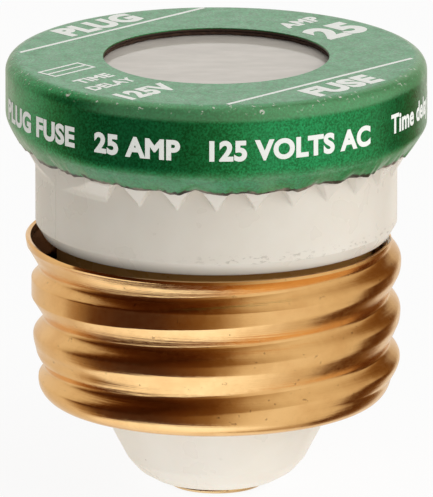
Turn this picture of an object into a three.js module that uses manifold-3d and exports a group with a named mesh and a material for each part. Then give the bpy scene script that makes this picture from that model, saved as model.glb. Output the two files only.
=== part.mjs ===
// Screw-in plug fuse: a white moulded insulator, a rolled brass Edison-thread shell, a riveted centre
// contact, a lagged (loaded) fuse link on two terminals, and a viewing window held by a crimped painted cap.
// Millimetres. +Z runs up the fuse's axis to the cap; the origin is the centre of the contact's flat tip face.

import * as THREE from "three";
import { mergeVertices } from "three/addons/utils/BufferGeometryUtils.js";
import Module from "manifold-3d";

const wasm = await Module();
wasm.setup();

// ---------------------------------------------------------------- driving dimensions
const TOTAL_H = 31.2; // tip face to the cap's top face
const CAP_R = 14.9; // cap's outer radius
const CAP_T = 0.25; // cap sheet
const CAP_EDGE_R = 1.0; // rolled top edge
const WINDOW_HOLE_R = 7.95; // hole in the cap's top
const SEAT_Z = 30.2; // ledge the viewing disc sits on
const RIM_Z = 30.68; // insulator's top face, under the washer
const GASKET_T = 0.24; // fibre washer under the cap
const WINDOW_R = 11.0; // viewing disc
const WINDOW_T = 0.46;
const NECK_R = 12.8; // insulator's grip between cap and shell
const NECK_TOP = 23.15; // where the neck starts to flare to the flange
const NECK_LOW = 19.4; // lower corner of the neck
const SHOULDER = 18.4; // face under the neck, above the shell's lip
const FLANGE_R = 14.5; // hidden flange that the cap is crimped round
const FLUTES = 29; // finger grooves round the flare, before the plain lands are left out
const BARREL_R = 11.3; // insulator inside the shell
const CAVITY_R = 8.6; // link chamber
const POCKET_R = 4.6; // lower pocket above the tip
const PITCH = 25.4 / 7; // Edison medium thread, seven turns to the inch
const MAJOR_R = 13.1; // thread crest
const MINOR_R = 12.25; // thread root
const SHELL_T = 0.35; // brass sheet
const SHELL_LOW = 6.5; // shell's lower face
const SHELL_TOP = 17.9; // shell's trimmed lip
const SHELL_LEAN = 0.045; // mm of extra radius per mm of height on the -X side, where the shell stands off the insulator
const CREST_Z = 14.57; // height of a crest at the -X side
const CONTACT_R = 3.5; // tip contact
const LEAD_ANGLE = -8; // degrees, where the shell lead leaves the insulator

// ---------------------------------------------------------------- materials
const paint = new THREE.MeshStandardMaterial({ color: 0x0c783c, roughness: 0.35, metalness: 0.1 });
const moulding = new THREE.MeshStandardMaterial({ color: 0xe6e0d4, roughness: 0.3, metalness: 0.0 });
const brass = new THREE.MeshStandardMaterial({ color: 0xd9a25c, roughness: 0.25, metalness: 1.0 });
const zinc = new THREE.MeshStandardMaterial({ color: 0xb4b6ba, roughness: 0.4, metalness: 1.0 });
const solder = new THREE.MeshStandardMaterial({ color: 0xc3c2bd, roughness: 0.3, metalness: 1.0 });
const copper = new THREE.MeshStandardMaterial({ color: 0xb9724a, roughness: 0.35, metalness: 1.0 });
const fibre = new THREE.MeshStandardMaterial({ color: 0x3c2414, roughness: 0.8, metalness: 0.0 });
const clear = new THREE.MeshStandardMaterial({ color: 0xd2ccc2, roughness: 0.15, metalness: 0.0, transparent: true, opacity: 0.6 });

const fuse = new THREE.Group();

function add(name, geometry, material, parent = fuse) {
  const mesh = new THREE.Mesh(geometry, material);
  mesh.name = name;
  parent.add(mesh);
  return mesh;
}

// Revolves a closed (or axis to axis) outline of [r, z] pairs round Z.
function turned(outline, segments = 48) {
  const points = outline.map(([r, z]) => new THREE.Vector2(r, z));
  return new THREE.LatheGeometry(points, segments).rotateX(Math.PI / 2);
}

// Carries a closed outline round Z, letting the outline change with the angle.
// outlineAt(angle) gives the same number of [r, z] pairs each time, anticlockwise with r to the right.
function swept(outlineAt, segments, start = 0) {
  const position = [];
  const index = [];
  let n = 0;
  for (let i = 0; i < segments; i++) {
    const angle = start + (i / segments) * 2 * Math.PI;
    const outline = outlineAt(angle, i);
    n = outline.length;
    for (const [r, z] of outline)
      position.push(r * Math.cos(angle), r * Math.sin(angle), z);
  }
  for (let i = 0; i < segments; i++)
    for (let j = 0; j < n; j++) {
      const next = (i + 1) % segments;
      const up = (j + 1) % n;
      const a = i * n + j, b = next * n + j, c = next * n + up, d = i * n + up;
      index.push(a, b, c, a, c, d);
    }
  return new THREE.BufferGeometry()
    .setAttribute("position", new THREE.Float32BufferAttribute(position, 3))
    .setIndex(index);
}

// ---------------------------------------------------------------- joining and cutting
function solid(geometry) {
  const g = geometry.clone();
  for (const name of Object.keys(g.attributes)) if (name !== "position") g.deleteAttribute(name);
  const m = mergeVertices(g, 1e-4);
  return new wasm.Manifold(
    new wasm.Mesh({
      numProp: 3,
      vertProperties: new Float32Array(m.attributes.position.array),
      triVerts: new Uint32Array(m.index.array),
    }),
  );
}
function surface(body) {
  const m = body.getMesh();
  return new THREE.BufferGeometry()
    .setAttribute("position", new THREE.BufferAttribute(new Float32Array(m.vertProperties), 3))
    .setIndex(new THREE.BufferAttribute(new Uint32Array(m.triVerts), 1));
}
function block([x0, y0, z0], [x1, y1, z1]) {
  return new THREE.BoxGeometry(x1 - x0, y1 - y0, z1 - z0).translate((x0 + x1) / 2, (y0 + y1) / 2, (z0 + z1) / 2);
}
function post(radius, z0, z1, segments = 24) {
  return new THREE.CylinderGeometry(radius, radius, z1 - z0, segments)
    .rotateX(Math.PI / 2)
    .translate(0, 0, (z0 + z1) / 2);
}
// A flat outline in X and Z given thickness along Y, centred on Y = 0.
function plate(outline, width) {
  const shape = new THREE.Shape(outline.map(([x, z]) => new THREE.Vector2(x, z)));
  return new THREE.ExtrudeGeometry(shape, { depth: width, bevelEnabled: false })
    .rotateX(Math.PI / 2)
    .translate(0, width / 2, 0);
}
// A strip of sheet bent along a path in X and Z.
function bentStrip(path, thickness, width) {
  const left = [], right = [];
  path.forEach(([x, z], i) => {
    const before = path[Math.max(i - 1, 0)], after = path[Math.min(i + 1, path.length - 1)];
    const d1 = new THREE.Vector2(x - before[0], z - before[1]);
    const d2 = new THREE.Vector2(after[0] - x, after[1] - z);
    if (d1.length() < 1e-9) d1.copy(d2);
    if (d2.length() < 1e-9) d2.copy(d1);
    d1.normalize(); d2.normalize();
    const n1 = new THREE.Vector2(-d1.y, d1.x), n2 = new THREE.Vector2(-d2.y, d2.x);
    const n = n1.clone().add(n2).normalize();
    const reach = thickness / 2 / Math.max(n.dot(n1), 0.5);
    left.push([x + n.x * reach, z + n.y * reach]);
    right.push([x - n.x * reach, z - n.y * reach]);
  });
  return plate([...left, ...right.reverse()], width);
}

// ---------------------------------------------------------------- insulator
// The flare is grooved all round but for two plain lands, which sit over the mould's parting line.
function grooved(angle) {
  const deg = ((angle * 180) / Math.PI + 360) % 360;
  return !((deg > 198 && deg < 232) || (deg > 18 && deg < 52));
}
const insulatorOutline = (angle, step) => {
  const cut = step % 2 === 1 && grooved(angle);
  const flare = (r, floor) => (cut ? Math.min(r, floor) : r);
  return [
    [1.15, 0.45],
    [3.6, 0.45],
    [4.6, 0.62],
    [5.6, 1.2],
    [6.37, 2.15],
    [8.62, 6.6],
    [8.8, 6.95],
    [BARREL_R, 6.95],
    [BARREL_R, SHOULDER],
    [12.2, SHOULDER],
    [12.6, 18.75],
    [NECK_R, NECK_LOW],
    [NECK_R, NECK_TOP],
    [flare(13.3, NECK_R + 0.02), 24.6],
    [flare(13.95, NECK_R + 0.2), 25.95],
    [flare(14.25, NECK_R + 0.6), 26.4],
    [FLANGE_R, 26.95],
    [FLANGE_R, RIM_Z - 0.58],
    [14.2, RIM_Z - 0.18],
    [13.7, RIM_Z],
    [WINDOW_R + 0.1, RIM_Z],
    [WINDOW_R + 0.1, SEAT_Z],
    [CAVITY_R, SEAT_Z],
    [CAVITY_R, 10.5],
    [POCKET_R, 10.5],
    [POCKET_R, 4.0],
    [1.15, 4.0],
  ];
};
const leadTurn = THREE.MathUtils.degToRad(LEAD_ANGLE);
const leadSlot = block([7.6, -1.45, 18.35], [13.6, 1.45, 19.15]).rotateZ(leadTurn);
add("insulator_body", surface(solid(swept(insulatorOutline, FLUTES * 2, -Math.PI / 2)).subtract(solid(leadSlot))), moulding);

// ---------------------------------------------------------------- screw shell
// Right-hand round thread rolled in sheet, trimmed level at the top and turned in under the insulator.
function shellRadius(angle, z) {
  const turn = (z - CREST_Z) / PITCH - (angle - Math.PI) / (2 * Math.PI);
  let r = (MAJOR_R + MINOR_R) / 2 + ((MAJOR_R - MINOR_R) / 2) * Math.cos(2 * Math.PI * turn);
  r -= 0.02 * Math.max(0, 15 - z);
  r += (SHELL_LEAN * (z - 9.5) * (1 - Math.cos(angle))) / 2;
  if (z < 8) r = Math.min(r, 11.6 + 1.4 * Math.sqrt(Math.max(0, 1 - ((8 - z) / 1.5) ** 2)));
  if (z > 17.3) r += 0.12 * ((z - 17.3) / 0.6) ** 2;
  return r;
}
const SHELL_ROWS = 19;
const shellOutline = (angle) => {
  const outer = [], inner = [];
  for (let k = 0; k < SHELL_ROWS; k++) {
    const s = k / (SHELL_ROWS - 1);
    const z = SHELL_LOW + (SHELL_TOP - SHELL_LOW) * s;
    outer.push([shellRadius(angle, z), z]);
    const zi = SHELL_LOW + SHELL_T + (SHELL_TOP - SHELL_LOW - SHELL_T) * s;
    inner.push([shellRadius(angle, zi) - SHELL_T, zi]);
  }
  return [...outer, ...inner.reverse(), [9.3, SHELL_LOW + SHELL_T], [9.3, SHELL_LOW]];
};
add("screw_shell", swept(shellOutline, 36), brass);

// ---------------------------------------------------------------- tip contact, eyelet and their solder
add("centre_contact", turned([
  [1.12, 0.3], [2.1, 0.3], [2.3, 0], [3.25, 0], [3.43, 0.07], [CONTACT_R, 0.22], [CONTACT_R, 0.43], [1.12, 0.43], [1.12, 0.3],
], 32), brass);
add("centre_eyelet", turned([
  [0.65, 0.08], [1.7, 0.08], [1.85, 0.18], [1.85, 0.28], [1.05, 0.28], [1.05, 4.36], [1.7, 4.36], [1.7, 4.56], [1.4, 4.66], [0.65, 4.66], [0.65, 0.08],
], 20), brass);
add("centre_solder", turned([
  [0, 0.05], [0.4, 0.08], [0.6, 0.2], [0.62, 0.4], [0.62, 3.4], [0.4, 3.55], [0, 3.6],
], 16), solder);

// ---------------------------------------------------------------- link and terminals, all in one upright plane
const works = new THREE.Group();
works.rotation.z = leadTurn;
fuse.add(works);

add("lower_terminal", surface(
  solid(post(2.7, 4.03, 4.33, 32))
    .add(solid(block([-2.75, -1.5, 4.03], [-2.4, 1.5, 13.4])))
    .subtract(solid(post(1.12, 3.5, 4.8, 32)))
    .subtract(solid(post(0.55, -2, 2, 16).rotateY(Math.PI / 2).translate(-2.5, 0, 8.4))),
), brass, works);
add("lower_joint_solder", block([-2.93, -1.25, 10.9], [-2.77, 1.25, 13.2]), solder, works);

// Thin zinc strip: up from the lower terminal, across under the window, and down to the shell lead.
const linkPath = [
  [-3.1, 10.8], [-3.1, 24.7], [-2.85, 25.65], [-2.15, 26.35], [-1.2, 26.6],
  [4.5, 26.6], [5.45, 26.35], [6.15, 25.65], [6.4, 24.7], [6.4, 19.9],
];
const waist = (x) => [1, -1].map((side) => post(0.75, 25, 28, 20).translate(x, side * 1.35, 0));
let link = solid(bentStrip(linkPath, 0.3, 2.6));
for (const cutter of [...waist(-0.6), ...waist(3.9)]) link = link.subtract(solid(cutter));
add("fuse_link", surface(link), zinc, works);
add("load_solder", post(1.5, 26.78, 26.95, 24).translate(1.65, 0, 0), solder, works);
add("load_slug", turned([
  [0, 26.98], [1.45, 26.98], [1.6, 27.12], [1.6, 28.2], [1.35, 28.45], [0, 28.45],
], 24).translate(1.65, 0, 0), copper, works);
add("upper_joint_solder", block([6.57, -1.15, 20.0], [6.73, 1.15, 22.0]), solder, works);
add("shell_lead", bentStrip([
  [6.9, 22.2], [6.9, 19.1], [7.02, 18.85], [7.25, 18.75], [11.35, 18.75], [11.57, 18.66], [11.65, 18.45], [11.65, 16.9],
], 0.3, 2.4), brass, works);
add("shell_joint_solder", plate([
  [11.84, 17.0], [11.94, 17.0], [11.96, 17.95], [12.36, 17.95], [12.42, 18.06], [12.3, 18.24], [12.05, 18.36], [11.84, 18.38],
], 1.8), solder, works);

// ---------------------------------------------------------------- window, washer and crimped cap
add("window", turned([
  [0, SEAT_Z + 0.02], [WINDOW_R, SEAT_Z + 0.02], [WINDOW_R, SEAT_Z + 0.02 + WINDOW_T], [0, SEAT_Z + 0.02 + WINDOW_T],
], 48), clear);
add("window_gasket", turned([
  [8.02, RIM_Z + 0.02], [13.5, RIM_Z + 0.02], [13.5, RIM_Z + 0.02 + GASKET_T], [8.02, RIM_Z + 0.02 + GASKET_T], [8.02, RIM_Z + 0.02],
], 48), fibre);

const arc = (r, radius, centreZ, angles) => angles.map((deg) => {
  const t = THREE.MathUtils.degToRad(deg);
  return [r + radius * Math.cos(t), centreZ + radius * Math.sin(t)];
});
const edgeCentre = CAP_R - CAP_EDGE_R;
add("cap_ring", turned([
  [13.75, 24.66], [14.05, 25.04], [14.35, 25.37], [14.6, 25.68], [14.8, 26.1], [CAP_R, 26.65],
  ...arc(edgeCentre, CAP_EDGE_R, TOTAL_H - CAP_EDGE_R, [0, 30, 60, 90]),
  [WINDOW_HOLE_R, TOTAL_H], [WINDOW_HOLE_R, TOTAL_H - CAP_T],
  ...arc(edgeCentre, CAP_EDGE_R - CAP_T, TOTAL_H - CAP_EDGE_R, [90, 60, 30, 0]),
  [CAP_R - CAP_T, 26.7], [14.56, 26.2], [14.38, 25.83], [14.14, 25.54], [13.86, 25.22], [13.56, 24.83], [13.75, 24.66],
], 48), paint);

export default fuse;
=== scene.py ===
# Screw-in plug fuse: fine surfaces, materials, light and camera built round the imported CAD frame. Metres; helpers take mm.
import math

import bpy
import numpy as np
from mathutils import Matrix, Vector


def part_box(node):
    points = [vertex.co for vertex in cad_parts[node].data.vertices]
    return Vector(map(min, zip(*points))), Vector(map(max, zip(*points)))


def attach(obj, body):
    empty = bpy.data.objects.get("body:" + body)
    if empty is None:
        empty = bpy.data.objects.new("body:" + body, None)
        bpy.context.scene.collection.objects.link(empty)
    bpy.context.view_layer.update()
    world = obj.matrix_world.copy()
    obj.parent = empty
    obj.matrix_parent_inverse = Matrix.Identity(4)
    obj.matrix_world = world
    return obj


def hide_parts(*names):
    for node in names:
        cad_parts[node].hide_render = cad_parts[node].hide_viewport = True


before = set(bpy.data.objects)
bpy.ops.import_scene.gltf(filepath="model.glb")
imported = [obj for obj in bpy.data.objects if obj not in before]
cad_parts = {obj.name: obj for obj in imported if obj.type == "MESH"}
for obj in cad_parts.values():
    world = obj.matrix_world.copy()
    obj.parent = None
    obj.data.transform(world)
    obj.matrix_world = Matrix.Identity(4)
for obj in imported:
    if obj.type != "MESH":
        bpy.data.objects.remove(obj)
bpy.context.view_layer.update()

MM = 0.001
TAU = 2 * math.pi
rng = np.random.default_rng(7)

# ------------------------------------------------------------------ sizes (mm)
CAP_R, CAP_TOP, CAP_T, CAP_EDGE_R = 14.9, 31.2, 0.25, 1.0
SEAT_Z, RIM_Z, SHELL_LEAN = 30.2, 30.68, 0.045
HOLE_R = 7.95
NECK_R, NECK_TOP, CRIMP_Z = 12.8, 23.18, 24.7
PITCH, MAJOR_R, MINOR_R, CREST_Z = 25.4 / 7, 13.1, 12.25, 14.57
SHELL_LOW, SHELL_TOP, SHELL_T = 6.5, 17.9, 0.35
FLUTE = 360 / 29
FRONT = 270.0
FLATS = (210.0, 30.0)


def deg(a):
    return np.degrees(a) % 360


def wrap180(a):
    return (a + 180) % 360 - 180


def smooth(lo, hi, x):
    t = np.clip((x - lo) / (hi - lo), 0, 1)
    return t * t * (3 - 2 * t)


def ring_noise(theta, scale, seed):
    """Smooth repeatable noise round the axis, about -1 to 1; scale is waves per turn."""
    g = np.random.default_rng(seed).uniform(-1, 1, int(scale))
    p = (np.asarray(theta) / TAU % 1) * len(g)
    i = np.floor(p).astype(int) % len(g)
    f = p - np.floor(p)
    f = f * f * (3 - 2 * f)
    return g[i] * (1 - f) + g[(i + 1) % len(g)] * f


# ------------------------------------------------------------------ mesh helpers
def finish_mesh(name, verts, faces, mat, replaces=(), slot=None, sharp=35):
    me = bpy.data.meshes.new(name)
    me.from_pydata(verts, [], faces)
    me.validate()
    me.update()
    me.polygons.foreach_set("use_smooth", [True] * len(me.polygons))
    me.set_sharp_from_angle(angle=math.radians(sharp))
    ob = bpy.data.objects.new(name, me)
    bpy.context.scene.collection.objects.link(ob)
    me.materials.append(mat)
    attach(ob, "root")
    if replaces:
        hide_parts(*replaces)
    return ob


def spin(name, outline_at, nt, mat, **kw):
    """Carries a closed outline of (r, z) in mm round Z. outline_at(theta array) gives an array (nt, n, 2)."""
    theta = np.arange(nt) / nt * TAU - math.pi / 2
    o = outline_at(theta)
    n = o.shape[1]
    x = o[:, :, 0] * np.cos(theta)[:, None]
    y = o[:, :, 0] * np.sin(theta)[:, None]
    v = np.stack([x, y, o[:, :, 1]], -1).reshape(-1, 3) * MM
    i = np.arange(nt)[:, None]
    j = np.arange(n)[None, :]
    a = i * n + j
    b = ((i + 1) % nt) * n + j
    c = ((i + 1) % nt) * n + (j + 1) % n
    d = i * n + (j + 1) % n
    f = np.stack([a, b, c, d], -1).reshape(-1, 4)
    return finish_mesh(name, v.tolist(), f.tolist(), mat, **kw)


def fixed(outline):
    o = np.array(outline, float)
    return lambda theta: np.broadcast_to(o, (len(theta),) + o.shape).copy()


def lathe_solid(name, outline, nt, mat, **kw):
    """Turned solid whose outline starts and ends on the axis."""
    o = np.array(outline, float)
    inner = o[1:-1]
    n = len(inner)
    theta = np.arange(nt) / nt * TAU
    v = [(0, 0, o[0][1] * MM)]
    for t in theta:
        v += [(r * math.cos(t) * MM, r * math.sin(t) * MM, z * MM) for r, z in inner]
    v.append((0, 0, o[-1][1] * MM))
    last = len(v) - 1
    f = []
    for i in range(nt):
        a, b = 1 + i * n, 1 + ((i + 1) % nt) * n
        f.append((0, b, a))
        for j in range(n - 1):
            f.append((a + j, b + j, b + j + 1, a + j + 1))
        f.append((last, a + n - 1, b + n - 1))
    return finish_mesh(name, v, f, mat, **kw)


def fillet(points, radii, steps=6, closed=True):
    """Rounds the corners of a polyline of (x, y) with the given radii."""
    out = []
    n = len(points)
    for k in range(n):
        p = np.array(points[k], float)
        r = radii[k] if not np.isscalar(radii) else radii
        if r <= 0 or (not closed and k in (0, n - 1)):
            out.append(tuple(p))
            continue
        a = np.array(points[k - 1], float) - p
        b = np.array(points[(k + 1) % n], float) - p
        la, lb = np.linalg.norm(a), np.linalg.norm(b)
        a, b = a / la, b / lb
        half = math.acos(np.clip(a @ b, -1, 1)) / 2
        if half > math.pi / 2 - 0.02:
            out.append(tuple(p))
            continue
        d = min(r / math.tan(half), 0.48 * la, 0.48 * lb)
        s, e = p + a * d, p + b * d
        for t in np.linspace(0, 1, steps):
            out.append(tuple((1 - t) ** 2 * s + 2 * t * (1 - t) * p + t * t * e))
    return out


def sheet_outline(path, t):
    """(nt, n, 2) outer path to a closed outline of sheet t thick on the inner side, with rounded cut ends."""
    d = np.gradient(path, axis=1)
    d /= np.linalg.norm(d, axis=-1, keepdims=True)
    nrm = np.stack([-d[..., 1], d[..., 0]], -1)
    inner = path + nrm * t
    e1 = (path[:, -1:] + inner[:, -1:]) / 2 + d[:, -1:] * t * 0.32
    e0 = (path[:, :1] + inner[:, :1]) / 2 - d[:, :1] * t * 0.32
    return np.concatenate([path, e1, inner[:, ::-1], e0], axis=1)


# ------------------------------------------------------------------ node helpers
class Nodes:
    def __init__(self, name):
        self.mat = bpy.data.materials.new(name)
        self.mat.use_nodes = True
        self.t = self.mat.node_tree
        self.bsdf = self.t.nodes["Principled BSDF"]
        self.pos = self.t.nodes.new("ShaderNodeTexCoord").outputs["Object"]

    def new(self, kind, **props):
        n = self.t.nodes.new(kind)
        for k, v in props.items():
            setattr(n, k, v)
        return n

    def link(self, a, b):
        self.t.links.new(a, b)

    def val(self, socket, v):
        if hasattr(v, "is_output") or isinstance(v, bpy.types.NodeSocket):
            self.link(v, socket)
        else:
            socket.default_value = v

    def math(self, op, a, b=0.0, c=0.0, clamp=False):
        n = self.new("ShaderNodeMath", operation=op, use_clamp=clamp)
        self.val(n.inputs[0], a)
        self.val(n.inputs[1], b)
        self.val(n.inputs[2], c)
        return n.outputs[0]

    def noise(self, scale, detail=3.0, rough=0.55, stretch=None, offset=(0, 0, 0)):
        m = self.new("ShaderNodeMapping")
        self.link(self.pos, m.inputs["Vector"])
        m.inputs["Scale"].default_value = stretch or (1, 1, 1)
        m.inputs["Location"].default_value = offset
        n = self.new("ShaderNodeTexNoise")
        self.link(m.outputs[0], n.inputs["Vector"])
        n.inputs["Scale"].default_value = scale
        n.inputs["Detail"].default_value = detail
        n.inputs["Roughness"].default_value = rough
        return n.outputs["Fac"]

    def ramp(self, x, lo, hi, a=0.0, b=1.0):
        n = self.new("ShaderNodeMapRange", clamp=True, interpolation_type="SMOOTHSTEP")
        self.val(n.inputs["Value"], x)
        n.inputs["From Min"].default_value = lo
        n.inputs["From Max"].default_value = hi
        n.inputs["To Min"].default_value = a
        n.inputs["To Max"].default_value = b
        return n.outputs[0]

    def mix(self, fac, a, b):
        n = self.new("ShaderNodeMix", data_type="RGBA")
        self.val(n.inputs[0], fac)
        self.val(n.inputs[6], a if isinstance(a, bpy.types.NodeSocket) else (*a, 1))
        self.val(n.inputs[7], b if isinstance(b, bpy.types.NodeSocket) else (*b, 1))
        return n.outputs[2]

    def bump(self, height, distance, strength=1.0, normal=None):
        n = self.new("ShaderNodeBump")
        self.link(height, n.inputs["Height"])
        n.inputs["Distance"].default_value = distance
        n.inputs["Strength"].default_value = strength
        if normal is not None:
            self.link(normal, n.inputs["Normal"])
        return n.outputs[0]

    def axes(self):
        s = self.new("ShaderNodeSeparateXYZ")
        self.link(self.pos, s.inputs[0])
        return s.outputs

    def near(self, p, r):
        """1 inside a ball of radius r mm round p mm, soft edged."""
        n = self.new("ShaderNodeVectorMath", operation="DISTANCE")
        self.link(self.pos, n.inputs[0])
        n.inputs[1].default_value = tuple(c * MM for c in p)
        return self.ramp(n.outputs["Value"], r * MM, r * 0.6 * MM)

    def put(self, **kw):
        for k, v in kw.items():
            self.val(self.bsdf.inputs[k.replace("_", " ")], (*v, 1) if isinstance(v, tuple) else v)


def any_of(n, masks):
    out = masks[0]
    for m in masks[1:]:
        out = n.math("MAXIMUM", out, m)
    return out


def paint_material():
    """Green lacquer on bright sheet: deep where it mirrors the dark, clear green where it mirrors the light."""
    n = Nodes("green_enamel")
    x, y, z = n.axes()[:]
    r = n.math("SQRT", n.math("ADD", n.math("MULTIPLY", x, x), n.math("MULTIPLY", y, y)))
    grain = n.noise(6200, 2, 0.65)
    blotch = n.noise(420, 3)
    base = n.mix(n.ramp(grain, 0.34, 0.68), (0.001, 0.165, 0.035), (0.014, 0.40, 0.125))
    base = n.mix(n.ramp(blotch, 0.40, 0.75, 0, 0.25), base, (0.020, 0.33, 0.12))
    # the lacquer is thinner and greyer on the turned-in skirt; the lighter green along the rolled top edge, missing at
    # the left, is a painted highlight; the hole's edge is coloured dark brown
    turned_in = n.ramp(z, 26.75 * MM, 25.95 * MM)
    base = n.mix(n.math("MULTIPLY", turned_in, 0.5), base, n.mix(n.ramp(blotch, 0.38, 0.62), (0.045, 0.165, 0.06), (0.12, 0.215, 0.11)))
    # painted highlight: a lighter green line where the skirt bends under
    fold_highlight = n.math("MULTIPLY", n.math("MULTIPLY", n.ramp(z, 25.75 * MM, 25.95 * MM), n.ramp(z, 26.25 * MM, 26.05 * MM)), n.ramp(n.noise(3000, 3, 0.7, (1, 1, 2)), 0.40, 0.66, 0, 0.32))
    base = n.mix(fold_highlight, base, (0.20, 0.42, 0.25))
    # painted highlight: lighter green on the rolled top edge, fading out towards the left
    rim_highlight_and_thin_lacquer = any_of(n, [n.math("MULTIPLY", n.math("MULTIPLY", n.ramp(z, 30.02 * MM, 30.40 * MM), n.ramp(x, -10.5 * MM, -7.0 * MM)), n.ramp(r, 13.9 * MM, 14.3 * MM, 0, 0.50))])
    base = n.mix(rim_highlight_and_thin_lacquer, base, (0.19, 0.40, 0.22))
    rim_highlight_and_thin_lacquer = n.math("MAXIMUM", rim_highlight_and_thin_lacquer, turned_in)
    spots = (((3.2, -14.35, 30.8), 0.22), ((-10.3, -10.1, 30.9), 0.28), ((-8.2, -11.9, 30.8), 0.18), ((-13.5, -5.1, 30.9), 0.14), ((11.4, -8.9, 30.8), 0.18), ((8.0, -12.0, 30.8), 0.12), ((-2.0, 14.4, 30.8), 0.2), ((14.75, -1.5, 29.5), 0.2))
    chip = n.math("MULTIPLY", any_of(n, [n.near(p, q) for p, q in spots]), n.ramp(n.noise(4200, 2), 0.38, 0.48))
    rub = n.math("MULTIPLY", n.ramp(n.noise(2600, 4, 0.7), 0.60, 0.66), n.math("MULTIPLY", n.ramp(z, 30.5 * MM, 30.95 * MM), n.ramp(r, 13.8 * MM, 14.2 * MM)))
    chip = n.math("MAXIMUM", chip, rub)
    cut = n.new("ShaderNodeAttribute", attribute_name="cut_edge").outputs["Fac"]
    edge = n.ramp(n.math("ADD", cut, n.math("MULTIPLY", n.math("SUBTRACT", n.noise(1300, 4, 0.7), 0.5), 1.6)), 0.62, 0.80)
    worn = n.ramp(n.noise(500, 3, 0.6, offset=(7, 2, 1)), 0.42, 0.60)
    lip = n.math("MULTIPLY", n.ramp(r, 8.09 * MM, 7.99 * MM), n.ramp(z, 31.19 * MM, 31.12 * MM))
    col = n.mix(chip, base, (0.62, 0.63, 0.56))
    col = n.mix(edge, col, n.mix(worn, (0.022, 0.020, 0.010), (0.21, 0.17, 0.13)))
    col = n.mix(lip, col, (0.045, 0.022, 0.014))
    bare = n.math("SUBTRACT", 1.0, n.math("MAXIMUM", n.math("MAXIMUM", chip, lip), edge), clamp=True)
    n.put(Base_Color=col, Roughness=n.ramp(n.noise(900, 3), 0.3, 0.8, 0.27, 0.40), Metallic=n.math("MULTIPLY", bare, n.math("SUBTRACT", 0.78, n.math("MULTIPLY", rim_highlight_and_thin_lacquer, 0.8))), IOR=1.5, Specular_IOR_Level=0.3, Coat_Weight=n.math("MULTIPLY", bare, 0.42), Coat_Roughness=0.22)
    n.link(n.bump(grain, 0.000014, 0.9, n.bump(blotch, 0.00003, 0.5)), n.bsdf.inputs["Normal"])
    return n.mat


def moulding_material():
    n = Nodes("cream_moulding")
    x, y, z = n.axes()[:]
    cloud = n.noise(260, 3)
    fine = n.noise(3000, 3)
    base = n.mix(n.ramp(cloud, 0.35, 0.7), (0.775, 0.725, 0.645), (0.80, 0.755, 0.68))
    specks = n.ramp(n.noise(1700, 2, 0.5, offset=(3, 1, 7)), 0.80, 0.82)
    base = n.mix(n.math("MULTIPLY", specks, 0.6), base, (0.30, 0.24, 0.17))
    # handling marks just above the shell's lip
    low = n.math("MULTIPLY", n.ramp(z, 20.15 * MM, 19.65 * MM), n.ramp(z, 19.15 * MM, 19.5 * MM))
    low = n.math("MULTIPLY", low, n.ramp(x, -3.0 * MM, 1.0 * MM, 0.15, 1.0))
    marks = n.math("MULTIPLY", low, n.ramp(n.noise(1500, 4, 0.7, (1, 1, 2.2), (5, 5, 5)), 0.54, 0.64))
    base = n.mix(n.math("MULTIPLY", marks, 0.45), base, (0.30, 0.26, 0.21))
    # painted reflection and shade: the barrel inside the shell is coloured brown-gold for the brass round it and the
    # shade in the gap
    base = n.mix(n.math("MULTIPLY", n.ramp(z, 18.42 * MM, 18.36 * MM), n.ramp(z, 8.0 * MM, 9.0 * MM)), base, (0.55, 0.29, 0.085))
    n.put(Base_Color=base, Roughness=n.ramp(cloud, 0.3, 0.7, 0.26, 0.33), IOR=1.52, Subsurface_Weight=0.04, Subsurface_Scale=0.0012, Coat_Weight=0.12, Coat_Roughness=0.12)
    n.link(n.bump(cloud, 0.00003, 0.4, n.bump(fine, 0.000002, 0.3)), n.bsdf.inputs["Normal"])
    return n.mat


def metal_material(name, light, dark, rough, ring=0.0, tarnish=0.5, speck=True, inside=False):
    n = Nodes(name)
    patch = n.noise(330, 4, 0.6)
    col = n.mix(n.ramp(patch, 0.38, 0.72, 0, tarnish), light, dark)
    if speck:
        spots = n.ramp(n.noise(2400, 3, 0.6, offset=(2, 9, 4)), 0.67, 0.72)
        col = n.mix(n.math("MULTIPLY", spots, 0.55), col, tuple(c * 0.35 for c in dark))
    if inside:  # the unpolished inner face, with painted shade and light: dark brown at the west side, old gold at the east
        x = n.axes()[0]
        face = n.new("ShaderNodeAttribute", attribute_name="inner_face").outputs["Fac"]
        # painted shade at the west, painted light at the east of the shell's inner face
        col = n.mix(face, col, n.mix(n.ramp(x, -10 * MM, 6 * MM), (0.17, 0.075, 0.022), (0.80, 0.52, 0.14)))
    fine = n.noise(2600, 3, 0.6)
    n.put(Base_Color=col, Metallic=1.0, Roughness=n.ramp(fine, 0.3, 0.7, rough * 0.8, rough * 1.35))
    normal = n.bump(fine, 0.000004, 0.7)
    if ring:
        lines = n.noise(900, 4, 0.65, (0.12, 0.12, 9.0))
        normal = n.bump(lines, 0.000012 * ring, 0.8, normal)
        dents = n.noise(300, 2, 0.5, (1, 1, 0.6))
        normal = n.bump(dents, 0.00006 * ring, 0.6, normal)
    n.link(normal, n.bsdf.inputs["Normal"])
    return n.mat


def fibre_material():
    n = Nodes("brown_fibre")
    f = n.noise(2600, 5, 0.7, (1, 1, 3))
    n.put(Base_Color=n.mix(n.ramp(f, 0.35, 0.7), (0.030, 0.012, 0.007), (0.075, 0.036, 0.020)), Roughness=0.75)
    n.link(n.bump(f, 0.00003, 0.8), n.bsdf.inputs["Normal"])
    return n.mat


def ink_material():
    n = Nodes("white_ink")
    f = n.noise(2600, 4, 0.7)
    n.put(Base_Color=n.mix(n.ramp(f, 0.62, 0.74, 0, 0.4), (0.93, 0.96, 0.93), (0.36, 0.55, 0.42)), Roughness=0.42)
    n.link(n.bump(f, 0.000004, 0.5), n.bsdf.inputs["Normal"])
    return n.mat


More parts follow.
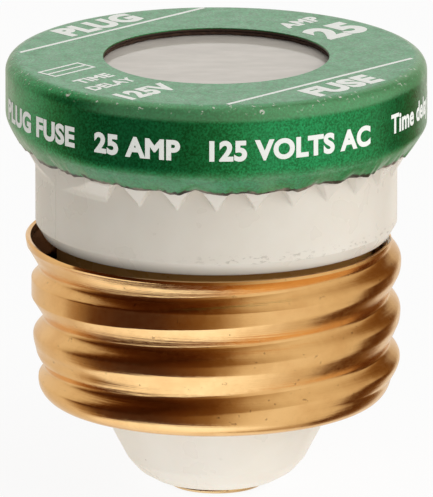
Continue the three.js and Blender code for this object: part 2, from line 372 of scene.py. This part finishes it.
def window_material():
    """Clear disc, slightly hazed: mirrors the light tent at a low angle and shows the works faintly."""
    n = Nodes("clear_disc")
    haze = n.noise(260, 4, 0.6, (1, 2.5, 1))
    scratch = n.ramp(n.noise(900, 3, 0.7, (0.25, 3.0, 1), (4, 2, 1)), 0.62, 0.70)
    n.put(Base_Color=n.mix(n.math("MULTIPLY", scratch, 0.5), (0.82, 0.775, 0.715), (0.90, 0.88, 0.85)), Roughness=n.ramp(haze, 0.35, 0.7, 0.05, 0.10), IOR=1.5)
    n.link(n.bump(haze, 0.000004, 0.4), n.bsdf.inputs["Normal"])
    clear = n.new("ShaderNodeBsdfTransparent")
    clear.inputs["Color"].default_value = (0.93, 0.91, 0.88, 1)
    mix = n.new("ShaderNodeMixShader")
    n.link(n.ramp(haze, 0.30, 0.75, 0.70, 0.80), mix.inputs[0])
    n.link(clear.outputs[0], mix.inputs[1])
    n.link(n.bsdf.outputs[0], mix.inputs[2])
    n.link(mix.outputs[0], n.t.nodes["Material Output"].inputs["Surface"])
    return n.mat


PAINT = paint_material()
MOULDING = moulding_material()
BRASS = metal_material("rolled_brass", (0.93, 0.585, 0.25), (0.80, 0.45, 0.17), 0.15, ring=1.0, tarnish=0.6, inside=True)
BRASS_PLAIN = metal_material("brass_strip", (0.86, 0.61, 0.31), (0.60, 0.38, 0.17), 0.27, tarnish=0.6)
ZINC = metal_material("dull_zinc", (0.60, 0.61, 0.63), (0.34, 0.35, 0.37), 0.38, tarnish=0.8)
SOLDER = metal_material("soft_solder", (0.74, 0.74, 0.72), (0.44, 0.44, 0.43), 0.30, tarnish=0.7)
COPPER = metal_material("copper_slug", (0.80, 0.43, 0.28), (0.40, 0.18, 0.11), 0.33, tarnish=0.8)
FIBRE = fibre_material()
INK = ink_material()
WINDOW = window_material()


# ------------------------------------------------------------------ insulator
def leg_phase(d):
    """Distance in degrees from the nearest leg of the grooved flare (0 at a leg, 6.2 in mid groove)."""
    return np.abs(wrap180(d - FRONT) - FLUTE * np.round(wrap180(d - FRONT) / FLUTE))


def flat_gap(d):
    return np.minimum(np.abs(wrap180(d - FLATS[0])), np.abs(wrap180(d - FLATS[1])))


def flare(z):
    return np.interp(z, [NECK_TOP, 24.7, 25.3, 25.95, 26.4, 26.95], [NECK_R, 13.62, 13.62, 13.95, 14.2, 14.5])


def insulator_outline(theta):
    d = deg(theta)
    base = fillet(
        [(1.15, 0.45), (3.6, 0.45), (4.5, 0.58), (5.55, 1.2), (6.34, 2.1), (7.27, 3.9), (8.6, 6.6), (8.85, 6.95), (11.3, 6.95), (11.3, 18.4), (12.25, 18.4), (NECK_R, 19.35), (NECK_R, 23.0)],
        [0.15, 0.5, 0.9, 1.2, 1.8, 6, 0.3, 0.1, 0.3, 0.05, 0.22, 0.10, 0], steps=7, closed=False)
    zs = np.concatenate([np.linspace(23.05, 25.4, 34), np.linspace(25.5, 26.9, 8)])
    top = fillet([(14.5, 27.0), (14.5, RIM_Z - 0.58), (14.2, RIM_Z - 0.18), (13.7, RIM_Z), (11.1, RIM_Z), (11.1, SEAT_Z), (8.6, SEAT_Z), (8.6, 10.5), (4.6, 10.5), (4.6, 4.0), (1.15, 4.0)],
                 [0, .2, .2, .2, .05, .03, .1, .4, .4, .4, .1], steps=5, closed=False)
    base, top = np.array(base), np.array(top)
    n = len(base) + len(zs) + len(top)
    o = np.empty((len(theta), n, 2))
    o[:, : len(base)] = base
    o[:, len(base) + len(zs):] = top
    u = (FLUTE / 2 - leg_phase(d)) * math.pi / 180 * NECK_R  # mm from mid groove
    u = u[:, None]
    z = zs[None, :]
    half = np.interp(z, [NECK_TOP, 24.6, 24.85, 25.0], [FLUTE / 2 * math.pi / 180 * NECK_R + 0.02, 0.50, 0.30, -0.2])
    groove = smooth(-0.07, 0.07, half - u) * (flat_gap(d) > 23.5)[:, None] * (z > NECK_TOP)
    cone = flare(zs)[None, :] - 0.22 * (np.clip(-np.cos(theta), 0, 1) ** 2)[:, None] * smooth(23.1, 23.7, zs)[None, :] * smooth(26.8, 25.6, zs)[None, :]
    r = cone * (1 - groove) + (NECK_R + 0.0) * groove
    g = np.radians(flat_gap(d))[:, None]
    flat = np.where(g < math.radians(24), NECK_R / np.cos(np.minimum(g, 0.5)), 99)
    r = np.where(z < 25.6, np.minimum(r, np.maximum(flat, NECK_R)), r)
    # mould parting line, a hair proud of the grip, at the middle of each flat
    o[:, len(base): len(base) + len(zs), 0] = r
    o[:, len(base): len(base) + len(zs), 1] = zs
    seam = 0.035 * (np.exp(-((wrap180(d - 207.6)) / 0.32) ** 2) + np.exp(-((wrap180(d - 27.6)) / 0.32) ** 2))
    first = int(np.argmax((base[:, 1] > 19.37) & (base[:, 0] > 12.7)))
    o[:, first: len(base) + 14, 0] += seam[:, None]
    return o


spin("insulator_surface", insulator_outline, 29 * 44, MOULDING, replaces=("insulator_body",), slot="moulding", sharp=28)


# ------------------------------------------------------------------ cap
def cap_outline(theta):
    d = deg(theta)
    w = np.cos(leg_phase(d) / FLUTE * TAU)
    amp = 0.75 + 0.55 * ring_noise(theta, 29, 3)
    amp = np.where(flat_gap(d) < 24, 0.35, amp)
    jag = ring_noise(theta, 240, 5) * 0.035 + ring_noise(theta, 90, 6) * 0.05 + ring_noise(theta, 11, 8) * 0.05
    left, right = np.clip(-np.cos(theta), 0, 1) ** 2, np.clip(np.cos(theta), 0, 1) ** 2
    ze = CRIMP_Z - 0.12 * w * amp - 1.7 * jag + 0.36 * left + 0.30 * right
    re = 13.92 - 0.14 * left + 0.10 * w * amp + 0.5 * jag - 0.12 * smooth(21, 14, flat_gap(d))
    t = np.linspace(0, 1, 16)[None, :]
    zc, rc = (25.6 + 0.98 * left + 0.60 * right)[:, None], CAP_R
    px = (1 - t) ** 2 * re[:, None] + 2 * t * (1 - t) * rc + t ** 2 * CAP_R
    pz = (1 - t) ** 2 * ze[:, None] + 2 * t * (1 - t) * zc + t ** 2 * (26.6 + 0.75 * left)[:, None]
    a = np.linspace(0, math.pi / 2, 14)
    c = CAP_R - CAP_EDGE_R
    roll_r = c + CAP_EDGE_R * np.cos(a)
    roll_z = CAP_TOP - CAP_EDGE_R + CAP_EDGE_R * np.sin(a)
    side_z = np.linspace(27.55, 29.9, 9)
    flat_r = np.concatenate([np.linspace(c - 0.3, HOLE_R + 0.2, 8), [HOLE_R + 0.1, HOLE_R + 0.05]])
    rest = np.concatenate([
        np.stack([np.full(9, CAP_R), side_z], -1),
        np.stack([roll_r, roll_z], -1),
        np.stack([flat_r, np.full(len(flat_r), CAP_TOP)], -1)])
    path = np.concatenate([np.stack([px, pz], -1), np.broadcast_to(rest, (len(theta),) + rest.shape)], axis=1)
    # the drawn side is not perfectly round
    path[:, 1:30, 0] -= np.abs(0.02 * ring_noise(theta, 7, 12))[:, None]
    return sheet_outline(path, CAP_T * 0.88)


cap = spin("cap_surface", cap_outline, 29 * 40, PAINT, replaces=("cap_ring",), slot="paint", sharp=40)
# how near each point is to the cut edge of the skirt: 1 on the edge, 0 on the painted side
n_ring = len(cap.data.vertices) // (29 * 40)
k_ring = np.arange(n_ring)
half_ring = (n_ring - 2) // 2
near_edge = np.clip(1 - k_ring / 5.2, 0, 1)
near_edge[half_ring + 1:] = 1.0
near_edge[half_ring - 6: half_ring + 14] = 0.0
cap.data.attributes.new("cut_edge", "FLOAT", "POINT").data.foreach_set("value", np.tile(near_edge, 29 * 40).astype(np.float32))


# ------------------------------------------------------------------ screw shell
# rolled thread: slope of the surface against the fraction of a pitch below the crest
# (a broad upright crest, a long flank facing down, a tight groove and a short flank facing up)
FALL = ((0.0, 0.0), (0.08, 0.06), (0.14, 0.22), (0.21, 0.50), (0.40, 0.53), (0.57, 0.47), (0.625, 0.20), (0.67, -0.40), (0.72, -0.88), (0.80, -1.0), (0.87, -0.72), (0.93, -0.30), (1.0, 0.0))
_f = np.linspace(0, 1, 721)
_slope = np.interp(_f, [q[0] for q in FALL], [q[1] for q in FALL])
_slope = np.convolve(np.concatenate([_slope[-21:-1], _slope, _slope[1:21]]), np.ones(41) / 41, "valid")[: len(_f)]
_slope = np.where(_slope > 0, _slope / _slope[_slope > 0].sum(), _slope / -_slope[_slope < 0].sum())
_drop = np.concatenate([[0], np.cumsum((_slope[1:] + _slope[:-1]) / 2)])
_drop = (_drop - _drop.min()) / (_drop.max() - _drop.min())


def shell_radius(theta, z):
    turn = (z - CREST_Z) / PITCH - (theta - math.pi) / TAU
    r = MAJOR_R - (MAJOR_R - MINOR_R) * np.interp((-turn) % 1.0, _f, _drop)
    r = r - 0.02 * np.maximum(0, 15 - z) + SHELL_LEAN * np.maximum(z - 9.5, 0) * (1 - np.cos(theta)) / 2
    west, east = (1 - np.cos(theta)) / 2, (1 + np.cos(theta)) / 2
    r = r - 0.24 * smooth(9.9, 8.1, z) - 0.10 * smooth(15.0, 12.0, z) * west
    r = r + 0.30 * smooth(10.5, 9.3, z) * west ** 2 + 0.12 * smooth(12.5, 10.5, z) * east ** 2
    return r + 0.12 * np.clip((z - 17.3) / 0.6, 0, 1) ** 2


def shell_outline(theta):
    theta = np.where(theta < 0, theta + TAU, theta)[:, None]
    low = 12.2
    top = SHELL_TOP + 0.22 * np.maximum(0, -np.cos(theta)) ** 2
    zs = 8.1 + (top - 8.1) * np.linspace(0, 1, 150)[None, :]
    r = shell_radius(theta, zs)
    lim = low + 0.9 + 0.155 * np.maximum(0, zs - 15.5)
    r = np.minimum(r, lim)
    a = np.linspace(0, math.pi / 2, 16)[None, :]
    r_at = r[:, :1]
    bend_r = r_at - 1.45 + 1.45 * np.sin(a)
    bend_z = 8.1 - (8.1 - SHELL_LOW) * np.cos(a) + 0 * theta
    foot = np.linspace(9.3, 1.0, 9)[None, :-1]
    k = np.linspace(0, 1, 9)[None, :-1]
    foot = 9.3 + (bend_r[:, :1] - 9.3) * k
    path = np.concatenate([
        np.stack([foot, np.full_like(foot, SHELL_LOW)], -1),
        np.stack([bend_r, bend_z], -1),
        np.stack([r[:, 1:], np.broadcast_to(zs[:, 1:], r[:, 1:].shape)], -1)], axis=1)
    return sheet_outline(path, SHELL_T)


shell = spin("shell_surface", shell_outline, 720, BRASS, replaces=("screw_shell",), slot="brass", sharp=50)
n_ring = len(shell.data.vertices) // 720
inner_face = np.zeros(n_ring)
inner_face[(n_ring - 2) // 2 + 2: n_ring - 1] = 1.0
shell.data.attributes.new("inner_face", "FLOAT", "POINT").data.foreach_set("value", np.tile(inner_face, 720).astype(np.float32))
# the foot was turned in a little off the axis
for v in shell.data.vertices:
    v.co.x -= 0.20 * MM * float(smooth(9.2, 7.4, v.co.z / MM))

# ------------------------------------------------------------------ contact, eyelet, works that are turned
spin("contact_surface", fixed(fillet([(1.12, 0.3), (2.1, 0.3), (2.3, 0), (3.3, 0), (3.5, 0.2), (3.5, 0.43), (1.12, 0.43)], [.02, .08, .06, .12, .10, .08, .02], 6)), 128, BRASS_PLAIN, replaces=("centre_contact",), slot="brass")
spin("eyelet_surface", fixed(fillet([(0.65, 0.06), (1.7, 0.06), (1.85, 0.16), (1.85, 0.28), (1.05, 0.28), (1.05, 4.36), (1.7, 4.36), (1.7, 4.6), (1.4, 4.66), (0.65, 4.66)], [.12, .06, .04, .03, .05, .05, .04, .05, .05, .12], 5)), 96, BRASS_PLAIN, replaces=("centre_eyelet",), slot="brass")
lathe_solid("tip_solder_surface", [(0, 0.07), (0.25, 0.075), (0.42, 0.10), (0.56, 0.17), (0.62, 0.32), (0.62, 3.4), (0.5, 3.5), (0.3, 3.57), (0, 3.6)], 64, SOLDER, replaces=("centre_solder",), slot="solder")


def shifted(name, outline, mat, node, slot, nt=96):
    lo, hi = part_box(node)
    ob = lathe_solid(name, outline, nt, mat, replaces=(node,), slot=slot)
    for v in ob.data.vertices:
        v.co.x += (lo.x + hi.x) / 2
        v.co.y += (lo.y + hi.y) / 2
    return ob


shifted("slug_surface", [(0, 26.98)] + fillet([(0.9, 26.98), (1.6, 26.98), (1.6, 27.5), (1.52, 27.58), (1.6, 27.66), (1.6, 28.45), (0.9, 28.45)], [0, .14, .04, .03, .04, .22, 0], 6, closed=False) + [(0, 28.45)], COPPER, "load_slug", "copper")
shifted("slug_solder_surface", [(0, 26.79), (1.3, 26.79), (1.44, 26.82), (1.5, 26.87), (1.44, 26.92), (1.3, 26.95), (0, 26.95)], SOLDER, "load_solder", "solder")

# ------------------------------------------------------------------ window and washer
lathe_solid("window_surface", [(0, SEAT_Z + .03)] + fillet([(5, SEAT_Z + .03), (10.98, SEAT_Z + .03), (10.98, SEAT_Z + .46), (5, SEAT_Z + .46)], [0, .06, .06, 0], 5, closed=False) + [(0, SEAT_Z + .46)], 160, WINDOW, replaces=("window",), slot="window")


def gasket_outline(theta):
    o = np.array(fillet([(8.02, RIM_Z + .02), (13.5, RIM_Z + .02), (13.5, RIM_Z + .25), (8.02, RIM_Z + .25)], .06, 5))
    o = np.broadcast_to(o, (len(theta),) + o.shape).copy()
    inner = o[..., 0] < 9
    o[..., 0] += inner * (0.05 * ring_noise(theta, 60, 21) + 0.02 * ring_noise(theta, 300, 22))[:, None]
    return o


spin("gasket_surface", gasket_outline, 480, FIBRE, replaces=("window_gasket",), slot="fibre")

# ------------------------------------------------------------------ CAD nodes that stay: softened edges and their own materials
for name, mat, width, soft in (("lower_terminal", BRASS_PLAIN, 0.06, 0), ("fuse_link", ZINC, 0.05, 0), ("shell_lead", BRASS_PLAIN, 0.05, 0),
                               ("lower_joint_solder", SOLDER, 0.05, 2), ("upper_joint_solder", SOLDER, 0.05, 2), ("shell_joint_solder", SOLDER, 0.06, 2)):
    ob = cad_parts[name]
    ob.data.materials.clear()
    ob.data.materials.append(mat)
    b = ob.modifiers.new("edges", "BEVEL")
    b.width, b.segments, b.limit_method, b.angle_limit = width * MM, 3, "ANGLE", math.radians(35)
    if soft:
        s = ob.modifiers.new("soft", "SUBSURF")
        s.levels = s.render_levels = soft

# ------------------------------------------------------------------ generic print
def text_mesh(body, size, bold=0.0, squeeze=1.0):
    """Flat lettering centred on its middle, as (vertices in mm, faces); a thin closed solid."""
    cu = bpy.data.curves.new("t", "FONT")
    cu.body, cu.size = body, size
    cu.align_x, cu.align_y = "CENTER", "CENTER"
    cu.extrude, cu.resolution_u = 0.006, 8
    cu.bevel_depth, cu.bevel_resolution = bold, 0
    cu.space_character = 1.0 + 1.3 * bold / size
    ob = bpy.data.objects.new("t", cu)
    bpy.context.scene.collection.objects.link(ob)
    bpy.context.view_layer.update()
    me = bpy.data.meshes.new_from_object(ob.evaluated_get(bpy.context.evaluated_depsgraph_get()))
    v = np.array([tuple(p.co) for p in me.vertices])
    f = [tuple(p.vertices) for p in me.polygons]
    bpy.data.objects.remove(ob)
    bpy.data.meshes.remove(me)
    v[:, 0] *= squeeze
    v[:, 2] = np.clip(v[:, 2], -0.006, 0.010)
    v[:, 1] -= (v[:, 1].min() + v[:, 1].max()) / 2
    return v, f


def add_print(name, v, f):
    ob = finish_mesh(name, (v * MM).tolist(), f, INK, slot="paint", sharp=20)
    return ob


def on_top(v, along, up, turn=45.0):
    """(u, v, w) lettering laid on the cap's top. along and up are mm from the axis in the turned directions."""
    a = math.radians(turn)
    u, w = v[:, 0] + along, v[:, 1] + up
    return np.stack([u * math.cos(a) - w * math.sin(a), u * math.sin(a) + w * math.cos(a), CAP_TOP + 0.004 + v[:, 2]], -1)


def on_side(v, centre_deg, z):
    a = math.radians(centre_deg) + v[:, 0] / CAP_R
    r = CAP_R + 0.008 + v[:, 2]
    return np.stack([r * np.cos(a), r * np.sin(a), z + v[:, 1]], -1)


for name, body, size, bold, squeeze, along, up in (
    ("print_plug", "PLUG", 2.9, 0.17, 1.0, 0.3, 12.25),
    ("print_fuse", "FUSE", 2.9, 0.17, 1.0, 0.1, -12.2),
    ("print_amp", "AMP", 1.75, 0.09, 0.95, 11.0, 2.6),
    ("print_rating", "25", 4.1, 0.22, 1.0, 11.15, -0.9),
    ("print_time", "TIME", 1.45, 0.06, 1.0, -10.7, 1.5),
    ("print_delay", "DELAY", 1.45, 0.06, 0.92, -11.0, -0.5),
    ("print_volts", "125V", 2.6, 0.14, 0.86, -10.9, -3.7),
):
    v, f = text_mesh(body, size, bold, squeeze)
    add_print(name, on_top(v, along, up), f)

# two straight rules, the standard symbol for a fuse (a box with a line through it)
def bar(x0, x1, y0, y1, t=0.006):
    v = np.array([(x, y, z) for z in (-t, t) for y in (y0, y1) for x in (x0, x1)], float)
    return v, [(0, 2, 3, 1), (4, 5, 7, 6), (0, 1, 5, 4), (2, 6, 7, 3), (0, 4, 6, 2), (1, 3, 7, 5)]


def join(parts):
    v, f, n = [], [], 0
    for pv, pf in parts:
        v.append(pv)
        f += [tuple(i + n for i in q) for q in pf]
        n += len(pv)
    return np.concatenate(v), f


for name, up in (("print_rule_a", 10.45), ("print_rule_b", -10.3)):
    v, f = bar(-9.2, 9.2, -0.15, 0.15)
    add_print(name, on_top(v, 0, up), f)
v, f = join([bar(-2.0, 2.0, 0.72, 0.92), bar(-2.0, 2.0, -0.92, -0.72), bar(-2.0, -1.8, -0.71, 0.71), bar(1.8, 2.0, -0.71, 0.71), bar(-1.79, 1.79, -0.09, 0.09)])
add_print("print_symbol", on_top(v, -10.3, 4.6), f)

angle = 191.0
for k, (body, size, bold, squeeze, gap) in enumerate((
    ("PLUG FUSE   25 AMP   125 VOLTS AC", 1.92, 0.085, None, 9.0),
    ("Time delay type", 1.92, 0.055, 0.84, 7.0),
    ("SCREW BASE", 1.92, 0.085, 0.86, 8.0),
    ("PLUG FUSE   25 AMP", 1.92, 0.085, 0.86, 8.0),
    ("125 VOLTS", 1.92, 0.085, 0.86, 8.0),
)):
    v, f = text_mesh(body, size, bold, 1.0)
    wide = v[:, 0].max() - v[:, 0].min()
    v[:, 0] *= squeeze or 32.6 / wide
    span = math.degrees((v[:, 0].max() - v[:, 0].min()) / CAP_R)
    v[:, 0] -= v[:, 0].min()
    add_print(f"print_side_{k}", on_side(v, angle, 28.1), f)
    angle += span + gap

# ------------------------------------------------------------------ floor, light, camera
me = bpy.data.meshes.new("floor")
S = 3.0
me.from_pydata([(-S, -S, -0.00002), (S, -S, -0.00002), (S, S, -0.00002), (-S, S, -0.00002)], [], [(0, 1, 2, 3)])
floor = bpy.data.objects.new("floor", me)
bpy.context.scene.collection.objects.link(floor)
WARM = (1.0, 0.985, 0.955)
# brightness round the fuse as polished surfaces see it: (degrees from the camera, + to the right; level)
# UP is above the horizon, LEVEL just below it, DOWN the table close by
UP = ((-180, .95), (-160, .80), (-125, .76), (-114, .62), (-104, .20), (-96, .08), (-80, .05), (-50, .035), (-30, .07), (0, .15), (14, .34), (32, .62), (58, .78), (80, .76), (98, .68), (114, .54), (122, .30), (132, .18), (143, .15), (153, .60), (180, .95))
LEVEL = ((-180, .80), (-140, .72), (-115, .76), (-100, .38), (-84, .10), (-60, .05), (-36, .06), (-18, .14), (0, .28), (10, .52), (20, .77), (40, .88), (60, .83), (80, .75), (98, .67), (108, .18), (114, .09), (128, .11), (142, .22), (153, .80), (180, .85))
DOWN = ((-180, .88), (-100, 1.10), (-40, 1.25), (0, 1.30), (40, 1.12), (70, .90), (100, .55), (130, .45), (156, .95), (180, .95))
TINT_K, TINT_G, TINT_B = (0.05, 0.145, 0.28, 0.36, 0.60, 0.77, 0.90, 1.10, 1.30), (0.28, 0.41, 0.60, 0.64, 0.86, 0.91, 0.96, 1.02, 1.08), (0.07, 0.10, 0.26, 0.32, 0.67, 0.78, 0.92, 1.06, 1.22)


def surround(tree, x, y, z):
    """Colour a polished surface sees in the direction (x, y, z), scaled by 1/1.3."""
    def calc(op, a, b=0.0):
        m = tree.nodes.new("ShaderNodeMath"); m.operation = op
        for sock, v in ((m.inputs[0], a), (m.inputs[1], b)):
            if isinstance(v, bpy.types.NodeSocket):
                tree.links.new(v, sock)
            else:
                sock.default_value = v
        return m.outputs[0]
    t = calc("ADD", calc("DIVIDE", calc("ARCTAN2", x, calc("MULTIPLY", y, -1.0)), TAU), 0.5)
    out = []
    for table in (UP, LEVEL, DOWN):
        ramp = tree.nodes.new("ShaderNodeValToRGB")
        tree.links.new(t, ramp.inputs[0])
        el = ramp.color_ramp.elements
        while len(el) > 1:
            el.remove(el[0])
        for i, (d, k) in enumerate(table):
            e = el[0] if i == 0 else el.new((d + 180) / 360)
            e.position = (d + 180) / 360
            e.color = (k / 1.3, k * float(np.interp(k, TINT_K, TINT_G)) / 1.3, k * float(np.interp(k, TINT_K, TINT_B)) / 1.3, 1)
        out.append(ramp.outputs[0])
    low = tmix(tree, tramp(tree, calc("ADD", z, calc("MULTIPLY", x, 0.12)), -0.75, -0.84, 0, 1), out[1], out[2])
    return tmix(tree, tramp(tree, z, -0.10, 0.12, 0, 1), low, out[0])


def tmix(tree, fac, a, b):
    n = tree.nodes.new("ShaderNodeMix"); n.data_type = "RGBA"
    for sock, v in ((n.inputs[0], fac), (n.inputs[6], a), (n.inputs[7], b)):
        if isinstance(v, bpy.types.NodeSocket):
            tree.links.new(v, sock)
        else:
            sock.default_value = v
    return n.outputs[2]


def tramp(tree, src, lo, hi, a, b):
    m = tree.nodes.new("ShaderNodeMapRange"); m.interpolation_type = "SMOOTHSTEP"
    tree.links.new(src, m.inputs["Value"])
    for key, val in (("From Min", lo), ("From Max", hi), ("To Min", a), ("To Max", b)):
        m.inputs[key].default_value = val
    return m.outputs[0]


def grey(v):
    return (v * WARM[0] / 1.3, v * WARM[1] / 1.3, v * WARM[2] / 1.3, 1)


fm = bpy.data.materials.new("pale_floor")
fm.use_nodes = True
nt = fm.node_tree
nt.nodes.clear()
out = nt.nodes.new("ShaderNodeOutputMaterial")
tc = nt.nodes.new("ShaderNodeTexCoord")
fs = nt.nodes.new("ShaderNodeSeparateXYZ")
ln = nt.nodes.new("ShaderNodeVectorMath"); ln.operation = "LENGTH"
nt.links.new(tc.outputs["Object"], ln.inputs[0])
lp = nt.nodes.new("ShaderNodeLightPath")
geo = nt.nodes.new("ShaderNodeNewGeometry")
flip = nt.nodes.new("ShaderNodeVectorMath"); flip.operation = "SCALE"; flip.inputs["Scale"].default_value = -1.0
nt.links.new(geo.outputs["Incoming"], flip.inputs[0])
nt.links.new(flip.outputs[0], fs.inputs[0])
shine = surround(nt, fs.outputs[0], fs.outputs[1], fs.outputs[2])
soft = tmix(nt, tramp(nt, ln.outputs["Value"], 0.020, 0.060, 0, 1), grey(1.20), grey(0.74))
colour = tmix(nt, lp.outputs["Is Glossy Ray"], soft, shine)
hidden = nt.nodes.new("ShaderNodeEmission"); hidden.inputs[1].default_value = 1.3
nt.links.new(colour, hidden.inputs[0])
seen = nt.nodes.new("ShaderNodeEmission"); seen.inputs[0].default_value = (1, 1, 1, 1)
dif = nt.nodes.new("ShaderNodeBsdfDiffuse"); dif.inputs[0].default_value = (0.9, 0.9, 0.9, 1)
pale = nt.nodes.new("ShaderNodeMixShader"); pale.inputs[0].default_value = 0.10
nt.links.new(seen.outputs[0], pale.inputs[1]); nt.links.new(dif.outputs[0], pale.inputs[2])
mx = nt.nodes.new("ShaderNodeMixShader")
nt.links.new(lp.outputs["Is Camera Ray"], mx.inputs[0]); nt.links.new(hidden.outputs[0], mx.inputs[1]); nt.links.new(pale.outputs[0], mx.inputs[2])
clear = nt.nodes.new("ShaderNodeBsdfTransparent")
below = nt.nodes.new("ShaderNodeMath"); below.operation = "MULTIPLY"
nt.links.new(geo.outputs["Backfacing"], below.inputs[0]); nt.links.new(lp.outputs["Is Camera Ray"], below.inputs[1])
under = nt.nodes.new("ShaderNodeMixShader")
nt.links.new(below.outputs[0], under.inputs[0]); nt.links.new(mx.outputs[0], under.inputs[1]); nt.links.new(clear.outputs[0], under.inputs[2])
nt.links.new(under.outputs[0], out.inputs[0])
me.materials.append(fm)

world = bpy.data.worlds.new("tent")
bpy.context.scene.world = world
world.use_nodes = True
wt = world.node_tree
bg = wt.nodes["Background"]
co = wt.nodes.new("ShaderNodeTexCoord")
sp = wt.nodes.new("ShaderNodeSeparateXYZ")
wt.links.new(co.outputs["Generated"], sp.inputs[0])
wl = wt.nodes.new("ShaderNodeLightPath")
shine = surround(wt, sp.outputs[0], sp.outputs[1], sp.outputs[2])
side = tramp(wt, sp.outputs[0], -0.75, 0.7, 0.0, 1.0)
soft = tmix(wt, side, grey(0.22), grey(1.25))
colour = tmix(wt, wl.outputs["Is Diffuse Ray"], shine, soft)
colour = tmix(wt, wl.outputs["Is Camera Ray"], colour, (0.74, 0.74, 0.73, 1))
wt.links.new(colour, bg.inputs["Color"])
bg.inputs["Strength"].default_value = 1.3

TARGET = Vector((0, 0, 16.5 * MM))
DIST, ELEV = 1.1, math.radians(15.0)
cam = bpy.data.cameras.new("camera")
co_ = bpy.data.objects.new("camera", cam)
bpy.context.scene.collection.objects.link(co_)
back = Vector((0, -math.cos(ELEV), math.sin(ELEV)))
co_.location = TARGET + back * DIST
co_.rotation_euler = (-back).to_track_quat("-Z", "Y").to_euler()
cam.sensor_width = 36.0
cam.lens = 14.12 * (DIST / MM) * 36.0 / 497.0
cam.shift_x = 0.2 / 497.0
cam.shift_y = 8.3 / 497.0
cam.clip_start, cam.clip_end = 0.05, 50
bpy.context.scene.camera = co_


def area(name, loc, size, power, colour=(1, 1, 1)):
    li = bpy.data.lights.new(name, "AREA")
    li.shape, li.size, li.energy, li.color = "SQUARE", size, power, colour
    ob = bpy.data.objects.new(name, li)
    bpy.context.scene.collection.objects.link(ob)
    ob.location = loc
    ob.rotation_euler = (Vector((0, 0, 0.016)) - Vector(loc)).to_track_quat("-Z", "Y").to_euler()
    ob.visible_glossy = False


area("softbox_right", (0.30, -0.20, 0.26), 0.20, 0.25)
bpy.context.scene.view_settings.view_transform = "Standard"
bpy.context.scene.view_settings.look = "None"
